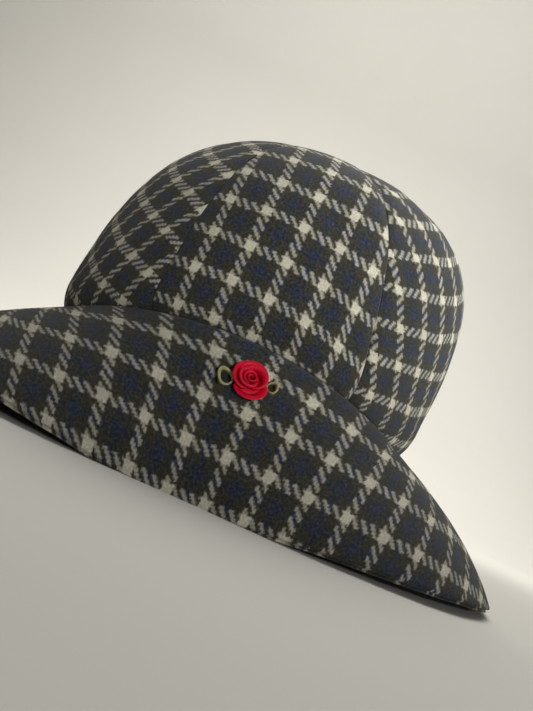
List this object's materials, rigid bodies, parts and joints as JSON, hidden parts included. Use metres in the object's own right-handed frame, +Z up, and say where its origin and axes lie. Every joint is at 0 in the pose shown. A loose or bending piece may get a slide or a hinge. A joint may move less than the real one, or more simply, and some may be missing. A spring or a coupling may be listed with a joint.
{
  "type": "bucket hat",
  "caption": "Soft checked wool bucket hat with a domed panelled crown, a wide bell-shaped brim with a facing, and a red ribbon rose with olive loops sewn to the brim.",
  "frame": {"origin": "middle of the hat's box, on the surface that the rim rests on", "axes": "+Z up through the crown, +X towards the brim's wide side, the rose on the -Y side"},
  "size_m": [0.3162, 0.2652, 0.1732],
  "materials": {
    "wool_check": "napped wool twill in an olive grey, navy and cream check",
    "wool_check_facing": "the same napped wool twill, under the brim",
    "red_satin": "red satin ribbon",
    "olive_satin": "pale olive satin ribbon"
  },
  "bodies": {
    "root": {"crown_panel_1": "wool_check", "crown_panel_2": "wool_check", "crown_panel_3": "wool_check", "crown_panel_4": "wool_check", "crown_panel_5": "wool_check", "crown_panel_6": "wool_check", "brim": "wool_check", "brim_facing": "wool_check_facing", "rose": "red_satin", "rose_loop_left": "olive_satin", "rose_loop_right": "olive_satin"}
  },
  "joints": []
}
